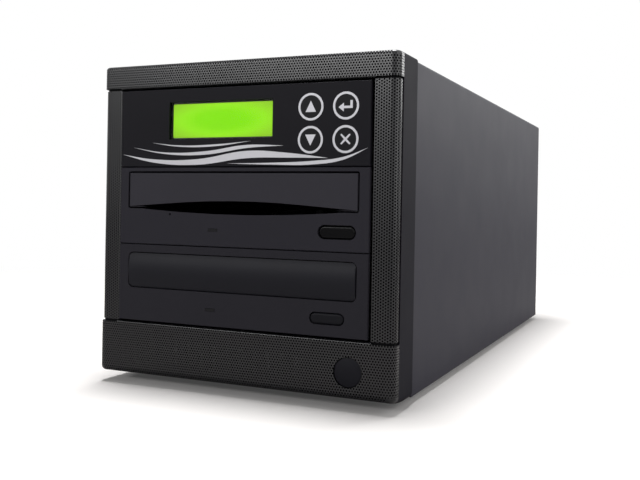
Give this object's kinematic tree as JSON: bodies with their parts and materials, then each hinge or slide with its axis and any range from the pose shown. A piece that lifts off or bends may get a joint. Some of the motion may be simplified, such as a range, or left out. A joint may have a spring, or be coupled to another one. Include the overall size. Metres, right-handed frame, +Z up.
{
  "type": "disc duplicator tower",
  "caption": "Desktop disc copying tower: perforated dark front, controller with lit display and keys, stacked tray drives, power supply and fans in a steel case.",
  "frame": {"origin": "on the floor plane, in the middle of the whole object seen from above", "axes": "+Z up; the front with the drives faces -Y; +X is to the right as seen from the front"},
  "size_m": [0.176, 0.4032, 0.177],
  "materials": {
    "cover_steel": "satin powder coat",
    "front_plastic": "moulded, fine grain",
    "mesh_steel": "black, perforated",
    "chassis_steel": "zinc plated",
    "rubber": "moulded",
    "panel_plastic": "printed film over plastic",
    "window": "clear acrylic",
    "display": "lit yellow-green",
    "key_plastic": "black with a printed ring",
    "board": "circuit board",
    "drive_plastic": "moulded, fine grain",
    "tray_plastic": "moulded",
    "button_plastic": "black",
    "white_plastic": "acetal",
    "lens_plastic": "translucent",
    "shaft_steel": "ground",
    "spindle_metal": "turned",
    "frame_plastic": "glass-filled plastic",
    "screw_steel": "zinc plated",
    "black_screw": "black oxide",
    "psu_steel": "zinc plated",
    "fan_plastic": "moulded",
    "inlet_plastic": "moulded",
    "rocker_plastic": "black",
    "data_lead": "sheathed",
    "power_lead": "sheathed"
  },
  "bodies": {
    "case": {"front_bezel": "front_plastic", "mesh_top": "mesh_steel", "mesh_bottom": "mesh_steel", "mesh_left": "mesh_steel", "mesh_right": "mesh_steel", "power_switch": "inlet_plastic", "chassis_base": "chassis_steel", "rubber_feet": "rubber", "drive_cage": "chassis_steel", "drive_screws": "screw_steel", "steel_cover": "cover_steel", "rear_panel": "cover_steel", "case_screws": "black_screw", "controller_panel": "panel_plastic", "lcd_window": "window", "lcd_module": "display", "front_board": "board", "controller_sled": "chassis_steel", "controller_board": "board", "led_lenses": "lens_plastic", "guide_rods": "shaft_steel", "drive_boards": "board", "psu_case": "psu_steel", "psu_board": "board", "psu_fan_frame": "fan_plastic", "mains_inlet": "inlet_plastic", "case_fan_frame": "fan_plastic", "data_cables": "data_lead", "power_leads": "power_lead", "upper_drive_bezel": "drive_plastic", "upper_drive_shell": "chassis_steel", "upper_loader_frame": "frame_plastic", "lower_drive_bezel": "drive_plastic", "lower_drive_shell": "chassis_steel", "lower_loader_frame": "frame_plastic"},
    "key_up": {"key_up": "key_plastic"},
    "key_down": {"key_down": "key_plastic"},
    "key_enter": {"key_enter": "key_plastic"},
    "key_escape": {"key_escape": "key_plastic"},
    "power_button": {"power_button": "button_plastic"},
    "upper_tray": {"upper_tray": "tray_plastic", "upper_tray_front": "drive_plastic"},
    "upper_pinion": {"upper_pinion": "white_plastic"},
    "upper_eject_button": {"upper_eject_button": "button_plastic"},
    "upper_spindle": {"upper_turntable": "spindle_metal", "upper_disc_clamp": "white_plastic"},
    "upper_pickup": {"upper_pickup": "frame_plastic"},
    "upper_lead_screw": {"upper_lead_screw": "shaft_steel"},
    "lower_tray": {"lower_tray": "tray_plastic", "lower_tray_front": "drive_plastic"},
    "lower_pinion": {"lower_pinion": "white_plastic"},
    "lower_eject_button": {"lower_eject_button": "button_plastic"},
    "lower_spindle": {"lower_turntable": "spindle_metal", "lower_disc_clamp": "white_plastic"},
    "lower_pickup": {"lower_pickup": "frame_plastic"},
    "lower_lead_screw": {"lower_lead_screw": "shaft_steel"},
    "psu_rocker": {"psu_rocker": "rocker_plastic"},
    "psu_fan_rotor": {"psu_fan_rotor": "fan_plastic"},
    "case_fan_rotor": {"case_fan_rotor": "fan_plastic"}
  },
  "joints": [
    {"name": "key_up_press", "type": "slide", "parent": "case", "child": "key_up", "axis": [0, 1, 0], "range_m": [0, 0.0005], "stiffness_N_per_m": 3000},
    {"name": "key_down_press", "type": "slide", "parent": "case", "child": "key_down", "axis": [0, 1, 0], "range_m": [0, 0.0005], "stiffness_N_per_m": 3000},
    {"name": "key_enter_press", "type": "slide", "parent": "case", "child": "key_enter", "axis": [0, 1, 0], "range_m": [0, 0.0005], "stiffness_N_per_m": 3000},
    {"name": "key_escape_press", "type": "slide", "parent": "case", "child": "key_escape", "axis": [0, 1, 0], "range_m": [0, 0.0005], "stiffness_N_per_m": 3000},
    {"name": "power_press", "type": "slide", "parent": "case", "child": "power_button", "axis": [0, 1, 0], "range_m": [0, 0.002], "stiffness_N_per_m": 1500},
    {"name": "upper_tray_slide", "type": "slide", "parent": "case", "child": "upper_tray", "axis": [0, -1, 0], "range_m": [0, 0.14]},
    {"name": "upper_pinion_spin", "type": "hinge", "parent": "case", "child": "upper_pinion", "pos_m": [0.04, -0.1808, 0.10055], "axis": [0, 0, -1], "range_deg": [0, 668.5]},
    {"name": "upper_eject_press", "type": "slide", "parent": "case", "child": "upper_eject_button", "axis": [0, 1, 0], "range_m": [0, 0.0008], "stiffness_N_per_m": 1500},
    {"name": "upper_spindle_spin", "type": "hinge", "parent": "case", "child": "upper_spindle", "pos_m": [0, -0.1228, 0.1003], "axis": [0, 0, 1], "continuous": true},
    {"name": "upper_pickup_slide", "type": "slide", "parent": "case", "child": "upper_pickup", "axis": [0, 1, 0], "range_m": [0, 0.034]},
    {"name": "upper_screw_spin", "type": "hinge", "parent": "case", "child": "upper_lead_screw", "pos_m": [0.032, -0.0758, 0.0938], "axis": [0, 1, 0], "range_deg": [0, 4081]},
    {"name": "lower_tray_slide", "type": "slide", "parent": "case", "child": "lower_tray", "axis": [0, -1, 0], "range_m": [0, 0.14]},
    {"name": "lower_pinion_spin", "type": "hinge", "parent": "case", "child": "lower_pinion", "pos_m": [0.04, -0.1808, 0.05825], "axis": [0, 0, -1], "range_deg": [0, 668.5]},
    {"name": "lower_eject_press", "type": "slide", "parent": "case", "child": "lower_eject_button", "axis": [0, 1, 0], "range_m": [0, 0.0008], "stiffness_N_per_m": 1500},
    {"name": "lower_spindle_spin", "type": "hinge", "parent": "case", "child": "lower_spindle", "pos_m": [0, -0.1228, 0.058], "axis": [0, 0, 1], "continuous": true},
    {"name": "lower_pickup_slide", "type": "slide", "parent": "case", "child": "lower_pickup", "axis": [0, 1, 0], "range_m": [0, 0.034]},
    {"name": "lower_screw_spin", "type": "hinge", "parent": "case", "child": "lower_lead_screw", "pos_m": [0.032, -0.0758, 0.0515], "axis": [0, 1, 0], "range_deg": [0, 4081]},
    {"name": "rocker_tilt", "type": "hinge", "parent": "case", "child": "psu_rocker", "pos_m": [-0.046, 0.1954, 0.034], "axis": [-1, 0, 0], "range_deg": [0, 18]},
    {"name": "psu_fan_spin", "type": "hinge", "parent": "case", "child": "psu_fan_rotor", "pos_m": [0.026, 0.184, 0.048], "axis": [0, 1, 0], "continuous": true},
    {"name": "case_fan_spin", "type": "hinge", "parent": "case", "child": "case_fan_rotor", "pos_m": [0, 0.185, 0.134], "axis": [0, 1, 0], "continuous": true}
  ],
  "couplings": [
    {"joint": "upper_pinion_spin", "follows": "upper_tray_slide", "rad_per_m": 83.333},
    {"joint": "upper_screw_spin", "follows": "upper_pickup_slide", "rad_per_m": 2094.4},
    {"joint": "lower_pinion_spin", "follows": "lower_tray_slide", "rad_per_m": 83.333},
    {"joint": "lower_screw_spin", "follows": "lower_pickup_slide", "rad_per_m": 2094.4}
  ]
}
